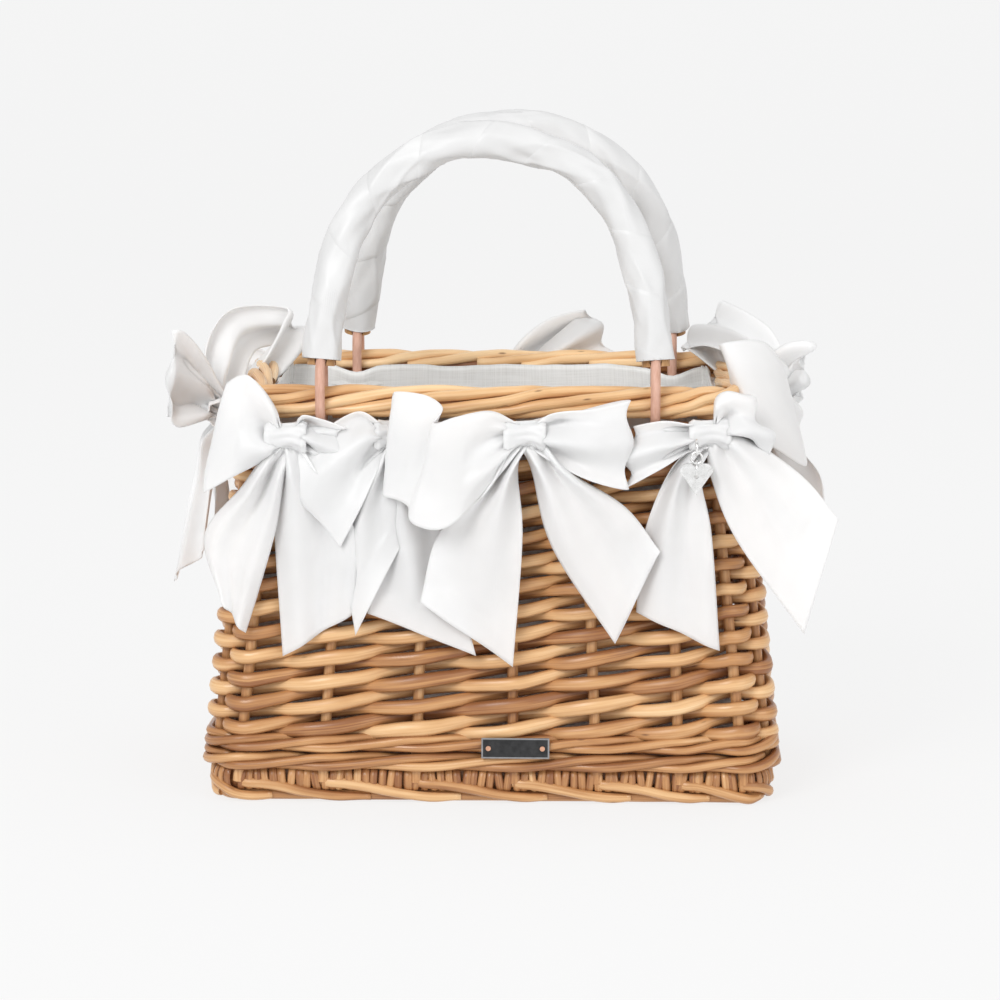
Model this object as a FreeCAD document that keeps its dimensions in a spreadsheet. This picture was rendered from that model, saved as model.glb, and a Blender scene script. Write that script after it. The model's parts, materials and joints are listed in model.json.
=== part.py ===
"""Flower girl basket: a small willow shopper with two hinged handles, satin bows and a charm.

Frame: millimetres, origin at the centre of the foot on the ground, +X right, +Y to the back, +Z up.
The wall tapers inwards from the foot to the rim, and everything woven follows one "stake line",
a rounded rectangle through the middle of the wall whose size is interpolated by height.
"""
import FreeCAD, Part

import math
import os

import Sketcher

Vector = FreeCAD.Vector
Rotation = FreeCAD.Rotation

X_AXIS = Vector(1, 0, 0)
Y_AXIS = Vector(0, 1, 0)
Z_AXIS = Vector(0, 0, 1)

DRIVING_DIMENSIONS = {
    # The stake line at the ground and at the rim.
    "floor_half_length": 122.6,
    "floor_half_depth": 63.9,
    "rim_half_length": 104.5,
    "rim_half_depth": 51.5,
    "rim_level": 176.0,
    "corner_radius": 12.0,
    # The layers of the wall, from the ground up.
    "foot_top": 8.8,
    "base_bottom": 9.0,
    "base_top": 14.8,
    "wale_bottom": 15.0,
    "wale_middle": 22.5,
    "wale_top": 30.0,
    "weave_top": 161.0,
    "layer_gap": 0.2,
    # How far each layer stands out of, and in from, the stake line.
    "wall_half_thickness": 6.5,
    "wale_half_thickness": 7.0,
    "foot_outside": 3.0,
    "foot_inside": 8.0,
    "base_outside": 3.0,
    "rim_border_radius": 7.5,
    # Sticks.
    "stake_diameter": 4.8,
    "stake_bottom": 9.2,
    "stake_top": 168.2,
    "base_stick_diameter": 4.2,
    "base_stick_spacing": 15.0,
    "base_stick_half_length": 112.0,
    "channel_clearance": 0.15,
    # Lining.
    "lining_inset": 7.4,
    "lining_thickness": 1.2,
    "lining_top": 163.0,
    # Rings that carry the handles.
    "ring_radius": 10.0,
    "ring_strand_radius": 2.1,
    "ring_rise": 9.0,
    "ring_clearance": 0.5,
    # Handles, measured from the hinge line through the tops of their rings.
    "handle_half_spread": 72.0,
    "handle_height": 104.0,
    "handle_top_radius": 66.7,
    "handle_top_half_width": 64.4,
    "handle_side_radius": 242.0,
    "handle_foot": 6.5,
    "handle_core_radius": 6.0,
    "wrap_foot": 11.0,
    "wrap_radius": 8.0,
    "handle_lean": 10.0,
    "front_handle_shift": -1.3,
    "back_handle_shift": 7.5,
    # Ribbon bows.
    "ribbon_width": 44.0,
    "ribbon_thickness": 2.0,
    "knot_width": 14.0,
    "knot_depth": 12.0,
    "bow_level": 159.5,
    "bow_gap": 1.8,
    # Label plate.
    "plate_length": 29.5,
    "plate_height": 9.0,
    "plate_thickness": 1.0,
    "plate_border": 0.7,
    "inlay_thickness": 0.25,
    "plate_level": 26.5,
    "rivet_radius": 1.1,
    "rivet_head": 0.5,
    # Charm.
    "heart_width": 14.0,
    "heart_thickness": 1.4,
    "heart_hole_radius": 0.9,
    "heart_hole_drop": 2.2,
    "charm_ring_radius": 3.2,
    "charm_ring_wire": 0.6,
    "link_radius": 2.4,
    "hanger_radius": 3.3,
    "link_wire": 0.45,
}

# Where each side's stakes stand, as shares of the side's straight length: (at the foot, at the rim).
# The sixth front stake leans away from the handle's ring.
FRONT_STAKES = (
    (-1.0, -1.0), (-0.667, -0.667), (-0.295, -0.295), (0.09, 0.09), (0.42, 0.42), (0.745, 0.81), (1.0, 1.0))
BACK_STAKES = (
    (-1.0, -1.0), (-0.6, -0.56), (-0.3, -0.3), (0.02, 0.02), (0.35, 0.35), (0.68, 0.68), (1.0, 1.0))
SIDE_STAKES = ((-1.0, -1.0), (-0.33, -0.33), (0.33, 0.33), (1.0, 1.0))

doc = FreeCAD.newDocument("flower_girl_basket")
sheet = doc.addObject("Spreadsheet::Sheet", "Sizes")
for row, (alias, value) in enumerate(DRIVING_DIMENSIONS.items(), start=1):
    sheet.set("A%d" % row, alias)
    sheet.set("B%d" % row, str(value))
    sheet.setAlias("B%d" % row, alias)
doc.recompute()

sub_parts = []


def size(alias):
    """A driving dimension, read back from the sheet."""
    return float(sheet.get(alias))


def keep(label, piece):
    """Name a finished sub-part, whose label is also its file's name."""
    piece.Label = label
    sub_parts.append(piece)
    return piece


def origin_plane(body, role):
    """One of a body's own origin planes."""
    return next(feature for feature in body.Origin.OriginFeatures if feature.Role == role)


def new_sketch(body, name, role, offset=None):
    """A sketch on one of the body's origin planes, moved along its normal by an expression."""
    sketch = body.newObject("Sketcher::SketchObject", name)
    sketch.AttachmentSupport = [(origin_plane(body, role), "")]
    sketch.MapMode = "FlatFace"
    if offset is not None:
        sketch.setExpression("AttachmentOffset.Base.z", offset)
    return sketch


def bind(sketch, name, expression, *constraint):
    """Add a dimension to a sketch and bind it to an expression."""
    index = sketch.addConstraint(Sketcher.Constraint(*constraint))
    sketch.renameConstraint(index, name)
    sketch.setExpression("Constraints." + name, expression)


def stake_line(half, level):
    """Expression for the stake line's half length or half depth at a level."""
    foot = "Sizes.floor_half_" + half
    rim = "Sizes.rim_half_" + half
    return "(%s + (%s - %s) * (%s) / Sizes.rim_level)" % (foot, rim, foot, level)


def stake_line_value(half, level):
    """The same, as a number."""
    foot = size("floor_half_" + half)
    rim = size("rim_half_" + half)
    return foot + (rim - foot) * level / size("rim_level")


def rounded_rectangle(body, name, level, outward):
    """A closed sketch at a level, offset outwards from the stake line by an expression."""
    sketch = new_sketch(body, name, "XY_Plane", level)
    a, b, r = 100.0, 50.0, 10.0
    corners = ((a - r, -b + r, 270), (a - r, b - r, 0), (-a + r, b - r, 90), (-a + r, -b + r, 180))
    lines = (
        ((-a + r, -b), (a - r, -b)),
        ((a, -b + r), (a, b - r)),
        ((a - r, b), (-a + r, b)),
        ((-a, b - r), (-a, -b + r)),
    )
    for (start, end), (centre_x, centre_y, first_angle) in zip(lines, corners):
        sketch.addGeometry(Part.LineSegment(Vector(*start, 0), Vector(*end, 0)))
        circle = Part.Circle(Vector(centre_x, centre_y, 0), Z_AXIS, r)
        first = math.radians(first_angle)
        sketch.addGeometry(Part.ArcOfCircle(circle, first, first + math.pi / 2))
    for edge in range(8):
        sketch.addConstraint(Sketcher.Constraint("Tangent", edge, 2, (edge + 1) % 8, 1))
    for edge, direction in ((0, "Horizontal"), (4, "Horizontal"), (2, "Vertical"), (6, "Vertical")):
        sketch.addConstraint(Sketcher.Constraint(direction, edge))
    for arc in (3, 5, 7):
        sketch.addConstraint(Sketcher.Constraint("Equal", 1, arc))
    half_length = "%s + (%s)" % (stake_line("length", level), outward)
    half_depth = "%s + (%s)" % (stake_line("depth", level), outward)
    bind(sketch, "right", half_length, "DistanceX", -1, 1, 2, 1, a)
    bind(sketch, "left", half_length, "DistanceX", 6, 1, -1, 1, a)
    bind(sketch, "back", half_depth, "DistanceY", -1, 1, 4, 1, b)
    bind(sketch, "front", half_depth, "DistanceY", 0, 1, -1, 1, b)
    bind(sketch, "corner", "Sizes.corner_radius + (%s)" % outward, "Radius", 1, r)
    return sketch


def loft(body, kind, name, levels, outward):
    """A tapered prism between two levels, added to or cut from the body."""
    sketches = [rounded_rectangle(body, "%s_%d" % (name, index), level, outward)
                for index, level in enumerate(levels)]
    feature = body.newObject(kind, name)
    feature.Profile = sketches[0]
    feature.Sections = [sketches[1]]
    feature.Ruled = True
    for sketch in sketches:
        sketch.Visibility = False
    return feature


def ring_band(name, bottom, top, outside, inside):
    """A tapered band of the wall between two levels, open above and below."""
    body = doc.addObject("PartDesign::Body", name)
    loft(body, "PartDesign::AdditiveLoft", name + "_outer", (bottom, top), outside)
    loft(body, "PartDesign::SubtractiveLoft", name + "_inner", (bottom, top), "-(%s)" % inside)
    return body


def stake_ends():
    """Foot and rim points of every stake's axis, grouped by side."""
    groups = {"front": [], "back": [], "left": [], "right": []}
    levels = (size("stake_bottom"), size("stake_top"))
    straight = size("corner_radius") - 1.0
    sides = (("front", FRONT_STAKES, "depth", -1), ("back", BACK_STAKES, "depth", 1),
             ("left", SIDE_STAKES, "length", -1), ("right", SIDE_STAKES, "length", 1))
    for side, shares, across, sign in sides:
        along = "length" if across == "depth" else "depth"
        for pair in shares:
            points = []
            for share, level in zip(pair, levels):
                place = share * (stake_line_value(along, level) - straight)
                wall = sign * stake_line_value(across, level)
                points.append(Vector(place, wall, level) if along == "length" else Vector(wall, place, level))
            groups[side].append(points)
    return groups


def stick(name, start, end, radius):
    """A straight willow stick between two points, with a bound radius."""
    cylinder = doc.addObject("Part::Cylinder", name)
    cylinder.setExpression("Radius", radius)
    cylinder.Height = (end - start).Length
    cylinder.Placement = FreeCAD.Placement(start, Rotation(Z_AXIS, end - start))
    return cylinder


def compound(name, pieces):
    """Several separate solids held in one object."""
    group = doc.addObject("Part::Compound", name)
    group.Links = pieces
    return group


def cut(name, base, tool):
    """One solid minus another."""
    result = doc.addObject("Part::Cut", name)
    result.Base = base
    result.Tool = tool
    return result


# ---------------------------------------------------------------- basket wall

STAKE_RADIUS = "Sizes.stake_diameter / 2"
CHANNEL_RADIUS = STAKE_RADIUS + " + Sizes.channel_clearance"

stake_channels = []
for side_name, stakes in stake_ends().items():
    sticks = []
    for index, (foot_point, rim_point) in enumerate(stakes):
        sticks.append(stick("%s_stake_%d" % (side_name, index), foot_point, rim_point, STAKE_RADIUS))
        lead = (foot_point - rim_point).normalize()
        stake_channels.append(stick("%s_channel_%d" % (side_name, index), foot_point + lead * 0.2,
                                    rim_point, CHANNEL_RADIUS))
    keep(side_name + "_stakes", compound(side_name + "_stakes", sticks))
all_channels = compound("all_stake_channels", stake_channels)

WALL_BANDS = (
    ("lower_wale", "Sizes.wale_bottom", "Sizes.wale_middle", "Sizes.wale_half_thickness"),
    ("upper_wale", "Sizes.wale_middle + Sizes.layer_gap", "Sizes.wale_top", "Sizes.wale_half_thickness"),
    ("wall_weave", "Sizes.wale_top + Sizes.layer_gap", "Sizes.weave_top", "Sizes.wall_half_thickness"),
)
for band_name, band_bottom, band_top, half_thickness in WALL_BANDS:
    band = ring_band(band_name + "_band", band_bottom, band_top, half_thickness, half_thickness)
    keep(band_name, cut(band_name, band, all_channels))

keep("foot_border", ring_band("foot_border", "0 * Sizes.foot_top", "Sizes.foot_top",
                              "Sizes.foot_outside", "Sizes.foot_inside"))


# ---------------------------------------------------------------- base

def build_base():
    """The flat woven base: crosswise weavers around lengthwise sticks."""
    slab = doc.addObject("PartDesign::Body", "base_slab")
    loft(slab, "PartDesign::AdditiveLoft", "base_slab_outer", ("Sizes.base_bottom", "Sizes.base_top"),
         "Sizes.base_outside")
    level = (size("base_bottom") + size("base_top")) / 2
    reach = size("base_stick_half_length")
    sticks = []
    channels = []
    for row in range(-3, 4):
        start = Vector(-reach, row * size("base_stick_spacing"), level)
        end = Vector(reach, start.y, level)
        radius = "Sizes.base_stick_diameter / 2"
        sticks.append(stick("base_stick_%d" % (row + 4), start, end, radius))
        overrun = X_AXIS * 0.2
        channels.append(stick("base_channel_%d" % (row + 4), start - overrun, end + overrun,
                              radius + " + Sizes.channel_clearance"))
    keep("base_sticks", compound("base_sticks", sticks))
    keep("base_weave", cut("base_weave", slab, compound("base_channels", channels + stake_channels)))


build_base()


# ---------------------------------------------------------------- swept pieces

def pipe(body, kind, name, path, radius):
    """A round section swept along a path sketch of the same body."""
    profile = body.newObject("Sketcher::SketchObject", name + "_section")
    profile.AttachmentSupport = [(path, "Edge1")]
    profile.MapMode = "NormalToEdge"
    profile.MapPathParameter = 0.0
    profile.addGeometry(Part.Circle(Vector(0, 0, 0), Z_AXIS, 5.0))
    profile.addConstraint(Sketcher.Constraint("Coincident", 0, 3, -1, 1))
    bind(profile, "radius", radius, "Radius", 0, 5.0)
    feature = body.newObject(kind, name)
    feature.Profile = profile
    feature.Spine = (path, ["Edge%d" % (edge + 1) for edge in range(path.GeometryCount)])
    profile.Visibility = False
    path.Visibility = False
    return feature


def build_rim_border():
    """The thick border rods round the rim, as one round section."""
    body = doc.addObject("PartDesign::Body", "rim_border")
    path = rounded_rectangle(body, "rim_path", "Sizes.rim_level", "0 * Sizes.rim_level")
    pipe(body, "PartDesign::AdditivePipe", "rim_rods", path, "Sizes.rim_border_radius")
    return keep("rim_border", body)


def build_ring(label, x_position, y_position):
    """A racetrack ring of split willow: half round the border below, half through the handle above."""
    body = doc.addObject("PartDesign::Body", label)
    path = new_sketch(body, label + "_path", "YZ_Plane")
    radius, rise = size("ring_radius"), size("ring_rise")
    lower = Part.Circle(Vector(0, 0, 0), Z_AXIS, radius)
    upper = Part.Circle(Vector(0, rise, 0), Z_AXIS, radius)
    path.addGeometry(Part.LineSegment(Vector(radius, 0, 0), Vector(radius, rise, 0)))
    path.addGeometry(Part.ArcOfCircle(upper, 0, math.pi))
    path.addGeometry(Part.LineSegment(Vector(-radius, rise, 0), Vector(-radius, 0, 0)))
    path.addGeometry(Part.ArcOfCircle(lower, math.pi, 2 * math.pi))
    for edge in range(4):
        path.addConstraint(Sketcher.Constraint("Tangent", edge, 2, (edge + 1) % 4, 1))
    path.addConstraint(Sketcher.Constraint("Coincident", 3, 3, -1, 1))
    path.addConstraint(Sketcher.Constraint("Vertical", 0))
    bind(path, "radius", "Sizes.ring_radius", "Radius", 3, radius)
    bind(path, "rise", "Sizes.ring_rise", "DistanceY", 0, 1, 0, 2, rise)
    pipe(body, "PartDesign::AdditivePipe", label + "_strand", path, "Sizes.ring_strand_radius")
    body.Placement = FreeCAD.Placement(Vector(x_position, y_position, size("rim_level")), Rotation())
    return keep(label, body)


def handle_path(body, name, foot):
    """The arch of a handle: a round top between two gently bowed sides, feet at the given level."""
    sketch = new_sketch(body, name, "XZ_Plane")
    top_radius, side_radius = size("handle_top_radius"), size("handle_side_radius")
    centre_level = size("handle_height") - top_radius
    half_width = size("handle_top_half_width")
    join = math.acos(half_width / top_radius)
    drop = (side_radius - top_radius) * math.sin(join)
    inset = (side_radius - top_radius) * math.cos(join)
    foot_angle = math.asin((size(foot) - centre_level + drop) / side_radius)
    right = Part.Circle(Vector(-inset, centre_level - drop, 0), Z_AXIS, side_radius)
    top = Part.Circle(Vector(0, centre_level, 0), Z_AXIS, top_radius)
    left = Part.Circle(Vector(inset, centre_level - drop, 0), Z_AXIS, side_radius)
    sketch.addGeometry(Part.ArcOfCircle(right, foot_angle, join))
    sketch.addGeometry(Part.ArcOfCircle(top, join, math.pi - join))
    sketch.addGeometry(Part.ArcOfCircle(left, math.pi - join, math.pi - foot_angle))
    sketch.addConstraint(Sketcher.Constraint("Tangent", 0, 2, 1, 1))
    sketch.addConstraint(Sketcher.Constraint("Tangent", 1, 2, 2, 1))
    sketch.addConstraint(Sketcher.Constraint("PointOnObject", 1, 3, -2))
    bind(sketch, "centre_level", "Sizes.handle_height - Sizes.handle_top_radius",
         "DistanceY", -1, 1, 1, 3, centre_level)
    bind(sketch, "top_radius", "Sizes.handle_top_radius", "Radius", 1, top_radius)
    bind(sketch, "right_join", "Sizes.handle_top_half_width", "DistanceX", -1, 1, 1, 1, half_width)
    bind(sketch, "left_join", "Sizes.handle_top_half_width", "DistanceX", 1, 2, -1, 1, half_width)
    bind(sketch, "right_radius", "Sizes.handle_side_radius", "Radius", 0, side_radius)
    bind(sketch, "left_radius", "Sizes.handle_side_radius", "Radius", 2, side_radius)
    bind(sketch, "right_foot", "Sizes." + foot, "DistanceY", -1, 1, 0, 1, size(foot))
    bind(sketch, "left_foot", "Sizes." + foot, "DistanceY", -1, 1, 2, 2, size(foot))
    return sketch


def build_handle(side, x_position, y_position, lean):
    """A bent cane core with its satin wrap, each notched for the two rings."""
    hinge = FreeCAD.Placement(Vector(x_position, y_position, size("rim_level") + size("ring_rise")),
                              Rotation(X_AXIS, lean))
    notches = []
    for name, sign in (("left", -1), ("right", 1)):
        notch = doc.addObject("Part::Torus", "%s_%s_notch" % (side, name))
        notch.setExpression("Radius1", "Sizes.ring_radius")
        notch.setExpression("Radius2", "Sizes.ring_strand_radius + Sizes.ring_clearance")
        notch.Placement = FreeCAD.Placement(Vector(sign * size("handle_half_spread"), 0, 0),
                                            Rotation(Y_AXIS, 90))
        notches.append(notch)
    core_name = side + "_handle_core"
    cane = doc.addObject("PartDesign::Body", core_name + "_cane")
    cane_path = handle_path(cane, core_name + "_path", "handle_foot")
    pipe(cane, "PartDesign::AdditivePipe", core_name + "_rod", cane_path, "Sizes.handle_core_radius")
    core = keep(core_name, cut(core_name, cane, compound(side + "_notches", notches)))
    core.Placement = hinge

    wrap_name = side + "_handle_wrap"
    wrap = doc.addObject("PartDesign::Body", wrap_name)
    wrap_path = handle_path(wrap, wrap_name + "_path", "wrap_foot")
    pipe(wrap, "PartDesign::AdditivePipe", wrap_name + "_outside", wrap_path, "Sizes.wrap_radius")
    pipe(wrap, "PartDesign::SubtractivePipe", wrap_name + "_inside", wrap_path,
         "Sizes.handle_core_radius + Sizes.channel_clearance")
    wrap.Placement = hinge
    keep(wrap_name, wrap)


build_rim_border()
for handle_side, sign in (("front", -1), ("back", 1)):
    shift = size(handle_side + "_handle_shift")
    hinge_y = sign * size("rim_half_depth")
    for ring_side, ring_sign in (("left", -1), ("right", 1)):
        ring_x = shift + ring_sign * size("handle_half_spread")
        build_ring("%s_%s_ring" % (handle_side, ring_side), ring_x, hinge_y)
    build_handle(handle_side, shift, hinge_y, sign * size("handle_lean"))


# ---------------------------------------------------------------- lining

def build_lining():
    """A thin cloth liner, open at the top, standing inside the wall and on the base."""
    body = doc.addObject("PartDesign::Body", "lining")
    bottom = "Sizes.base_top + Sizes.layer_gap"
    floor = bottom + " + Sizes.lining_thickness"
    loft(body, "PartDesign::AdditiveLoft", "lining_outer", (bottom, "Sizes.lining_top"),
         "-Sizes.lining_inset")
    loft(body, "PartDesign::SubtractiveLoft", "lining_inner", (floor, "Sizes.lining_top"),
         "-Sizes.lining_inset - Sizes.lining_thickness")
    return keep("lining", body)


build_lining()


# ---------------------------------------------------------------- bows

def ribbon_wedge(name, length, start_width, end_width, depth):
    """A strip that widens along its own +Y, with its width along X and its depth along +Z."""
    wedge = doc.addObject("Part::Wedge", name)
    wedge.Ymin = 0
    wedge.Ymax = length
    for end, width in (("", start_width), ("2", end_width)):
        wedge.setExpression("X%smin" % end, "-(%s) / 2" % width)
        wedge.setExpression("X%smax" % end, "(%s) / 2" % width)
        wedge.setExpression("Z%smin" % end, "0 * Sizes.ribbon_thickness")
        wedge.setExpression("Z%smax" % end, depth)
    return wedge


def build_bow(label, knot, turn, slope, layer, loops, tails):
    """A tied bow: a knot, two open loops and two hanging tails, as one closed solid.

    The bow is drawn against a wall that faces -Y: `turn` swings it about the vertical to its own
    wall and `slope` tips it to the wall's slant. A loop is (direction in degrees above the bow's
    +X, length, width, depth) and a tail is (direction, length). `layer` is how far the ribbon
    stands off the wall, which keeps the tails of neighbouring bows in front of each other.
    """
    half_knot = size("knot_width") / 2
    knot_block = doc.addObject("Part::Box", label + "_knot")
    knot_block.setExpression("Length", "Sizes.knot_width")
    knot_block.setExpression("Width", "Sizes.knot_depth")
    knot_block.setExpression("Height", "Sizes.knot_width")
    knot_block.Placement = FreeCAD.Placement(Vector(-half_knot, -size("knot_depth"), -half_knot), Rotation())
    strips = [ribbon_wedge("%s_loop_%d" % (label, index), length, "Sizes.knot_width",
                           "Sizes.ribbon_width * %s" % width_share,
                           "Sizes.ribbon_thickness * %s" % depth_share)
              for index, (direction, length, width_share, depth_share) in enumerate(loops)]
    strips += [ribbon_wedge("%s_tail_%d" % (label, index), length, "Sizes.knot_width",
                            "Sizes.ribbon_width", "Sizes.ribbon_thickness")
               for index, (direction, length) in enumerate(tails)]
    lay_flat = Rotation(X_AXIS, 90)
    for strip, (direction, *shape) in zip(strips, loops + tails):
        aim = Rotation(Y_AXIS, 90 - direction)
        strip.Placement = FreeCAD.Placement(Vector(0, -layer, 0), aim.multiply(lay_flat))
    bow = doc.addObject("Part::MultiFuse", label)
    bow.Shapes = [knot_block] + strips
    bow.Placement = FreeCAD.Placement(knot, Rotation(Z_AXIS, turn).multiply(Rotation(X_AXIS, slope)))
    return keep(label, bow)


def wall_place(side, along, level):
    """A point just outside the woven wall: `along` the side, at a level."""
    outward = size("wall_half_thickness") + size("bow_gap")
    if side in ("front", "back"):
        sign = -1 if side == "front" else 1
        return Vector(along, sign * (stake_line_value("depth", level) + outward), level)
    sign = -1 if side == "left" else 1
    return Vector(sign * (stake_line_value("length", level) + outward), along, level)


SIDE_TURN = {"front": 0, "right": 90, "back": 180, "left": -90}


def wall_slope(half):
    """How far a wall leans in from the vertical, in degrees."""
    rise = size("rim_level")
    return math.degrees(math.atan2(stake_line_value(half, 0) - stake_line_value(half, rise), rise))


SIDE_SLOPE = {"front": -wall_slope("depth"), "back": -wall_slope("depth"),
              "left": -wall_slope("length"), "right": -wall_slope("length")}

# Loop sizes are shares of the ribbon's width and multiples of its thickness.
OPEN = 8
PRESSED = 1.2
BOWS = (
    # label, side, place along the side, layer, loops, tails
    ("front_bow_left", "front", -88, 0.0,
     ((155, 34, 0.9, OPEN), (-30, 20, 0.5, PRESSED)), ((-106, 82), (-81, 89))),
    ("front_bow_middle_left", "front", -46, 2.6,
     ((200, 29, 0.75, OPEN), (0, 24, 0.7, PRESSED)), ((-97, 84), (-66, 97))),
    ("front_bow_middle", "front", 15, 5.2,
     ((186, 49, 0.95, OPEN), (6, 43, 0.85, OPEN)), ((-106, 90), (-56, 86))),
    ("front_bow_right", "front", 95, 0.0,
     ((190, 27, 0.45, OPEN), (28, 28, 0.7, OPEN)), ((-98, 84), (-50, 68))),
    ("right_bow", "right", 0, 0.0,
     ((155, 42, 0.9, OPEN), (25, 42, 0.9, OPEN)), ((-112, 80), (-66, 82))),
    ("left_bow", "left", 0, 0.0,
     ((155, 42, 0.9, OPEN), (25, 42, 0.9, OPEN)), ((-114, 82), (-68, 80))),
    ("back_bow_left", "back", -92, 0.0,
     ((10, 30, 0.8, OPEN), (190, 17, 0.5, OPEN)), ((-76, 84), (-108, 84))),
    ("back_bow_middle", "back", -5, 2.6,
     ((5, 42, 0.85, OPEN), (150, 50, 0.8, OPEN)), ((-70, 86), (-112, 88))),
    ("back_bow_right", "back", 104, 0.0,
     ((-10, 16, 0.5, OPEN), (170, 28, 0.8, OPEN)), ((-70, 84), (-104, 80))),
)
for bow_label, wall_side, along_wall, bow_layer, bow_loops, bow_tails in BOWS:
    knot_place = wall_place(wall_side, along_wall, size("bow_level"))
    build_bow(bow_label, knot_place, SIDE_TURN[wall_side], SIDE_SLOPE[wall_side],
              bow_layer, bow_loops, bow_tails)


# ---------------------------------------------------------------- label plate and charm

def plate_slab(name, margin, thickness, stand_off):
    """A flat rectangle of the label, inset by a margin, facing -Y."""
    slab = doc.addObject("Part::Box", name)
    slab.setExpression("Length", "Sizes.plate_length - 2 * %s" % margin)
    slab.setExpression("Width", thickness)
    slab.setExpression("Height", "Sizes.plate_height - 2 * %s" % margin)
    doc.recompute()
    corner = Vector(-float(slab.Length) / 2, -float(slab.Width) - stand_off, -float(slab.Height) / 2)
    slab.Placement = FreeCAD.Placement(corner, Rotation())
    return slab


def build_label():
    """A blank metal plate with a dark face, riveted to the upper wale."""
    level = size("plate_level")
    wale = -(stake_line_value("depth", level) + size("wale_half_thickness") + 0.3)
    seat = FreeCAD.Placement(Vector(11, wale, level), Rotation(X_AXIS, SIDE_SLOPE["front"]))
    slabs = (plate_slab("label_slab", "0 * Sizes.rivet_radius", "Sizes.plate_thickness", 0.0),
             plate_slab("label_inlay", "Sizes.plate_border", "Sizes.inlay_thickness",
                        size("plate_thickness")))
    holes = []
    rivets = []
    for index, sign in enumerate((-1, 1)):
        rivet_x = sign * (size("plate_length") / 2 - 3)
        for name, group, extra in (("hole", holes, " + 0.05"), ("rivet", rivets, "")):
            shank = doc.addObject("Part::Cylinder", "label_%s_%d" % (name, index))
            shank.setExpression("Radius", "Sizes.rivet_radius" + extra)
            shank.setExpression("Height", "Sizes.plate_thickness + Sizes.inlay_thickness + Sizes.rivet_head")
            shank.Placement = FreeCAD.Placement(Vector(rivet_x, 0, 0), Rotation(X_AXIS, 90))
            group.append(shank)
    all_holes = compound("label_holes", holes)
    pieces = [keep("label_plate", cut("label_plate", slabs[0], all_holes)),
              keep("label_face", cut("label_face", slabs[1], all_holes)),
              keep("label_rivets", compound("label_rivets", rivets))]
    for piece in pieces:
        piece.Placement = seat


build_label()


def build_charm(top):
    """A flat heart on two chain links below a split ring, hanging in front of the right front bow."""
    ring_radius, ring_wire = size("charm_ring_radius"), size("charm_ring_wire")
    link_wire = size("link_wire")
    slack = 0.1
    ring = doc.addObject("Part::Torus", "charm_ring")
    ring.setExpression("Radius1", "Sizes.charm_ring_radius")
    ring.setExpression("Radius2", "Sizes.charm_ring_wire")
    ring.Placement = FreeCAD.Placement(top - Z_AXIS * ring_radius, Rotation(Y_AXIS, 90))
    keep("charm_ring", ring)

    strand_level = top.z - 2 * ring_radius + ring_wire + link_wire + slack
    links = []
    for radius, axis in (("link_radius", X_AXIS), ("hanger_radius", Y_AXIS)):
        link = doc.addObject("Part::Torus", "chain_" + radius.split("_")[0])
        link.setExpression("Radius1", "Sizes." + radius)
        link.setExpression("Radius2", "Sizes.link_wire")
        centre = Vector(top.x, top.y, strand_level - size(radius))
        link.Placement = FreeCAD.Placement(centre, Rotation(axis, 90))
        links.append(link)
        strand_level -= 2 * size(radius) - 2 * link_wire - slack
    keep("charm_chain", compound("charm_chain", links))
    last_link_bottom = links[-1].Placement.Base.z - size("hanger_radius")

    body = doc.addObject("PartDesign::Body", "heart_charm")
    outline = new_sketch(body, "heart_outline", "XZ_Plane")
    lobe = size("heart_width") / 4
    depth = size("heart_width") * 0.725
    tip = Vector(0, -depth, 0)
    right_lobe = Part.Circle(Vector(lobe, 0, 0), Z_AXIS, lobe)
    left_lobe = Part.Circle(Vector(-lobe, 0, 0), Z_AXIS, lobe)
    outline.addGeometry(Part.LineSegment(tip, Vector(2 * lobe, 0, 0)))
    outline.addGeometry(Part.ArcOfCircle(right_lobe, 0, math.pi))
    outline.addGeometry(Part.ArcOfCircle(left_lobe, 0, math.pi))
    outline.addGeometry(Part.LineSegment(Vector(-2 * lobe, 0, 0), tip))
    for edge in range(4):
        outline.addConstraint(Sketcher.Constraint("Coincident", edge, 2, (edge + 1) % 4, 1))
    outline.addConstraint(Sketcher.Constraint("Coincident", 1, 2, -1, 1))
    for edge, point in ((1, 3), (2, 3), (1, 1), (2, 2)):
        outline.addConstraint(Sketcher.Constraint("PointOnObject", edge, point, -1))
    outline.addConstraint(Sketcher.Constraint("PointOnObject", 3, 2, -2))
    bind(outline, "right_lobe", "Sizes.heart_width / 4", "Radius", 1, lobe)
    bind(outline, "left_lobe", "Sizes.heart_width / 4", "Radius", 2, lobe)
    bind(outline, "tip", "Sizes.heart_width * 0.725", "DistanceY", 3, 2, -1, 1, depth)
    hole_drop, hole_radius = size("heart_hole_drop"), size("heart_hole_radius")
    outline.addGeometry(Part.Circle(Vector(0, -hole_drop, 0), Z_AXIS, hole_radius))
    outline.addConstraint(Sketcher.Constraint("PointOnObject", 4, 3, -2))
    bind(outline, "hole_drop", "Sizes.heart_hole_drop", "DistanceY", 4, 3, -1, 1, hole_drop)
    bind(outline, "hole", "Sizes.heart_hole_radius", "Radius", 4, hole_radius)
    plate = body.newObject("PartDesign::Pad", "heart_plate")
    plate.Profile = outline
    plate.setExpression("Length", "Sizes.heart_thickness")
    plate.Midplane = True
    outline.Visibility = False
    hang = Vector(top.x, top.y, last_link_bottom + hole_drop)
    body.Placement = FreeCAD.Placement(hang, Rotation())
    keep("heart_charm", body)


build_charm(Vector(88, -82, 165))


# ---------------------------------------------------------------- check and write

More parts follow.
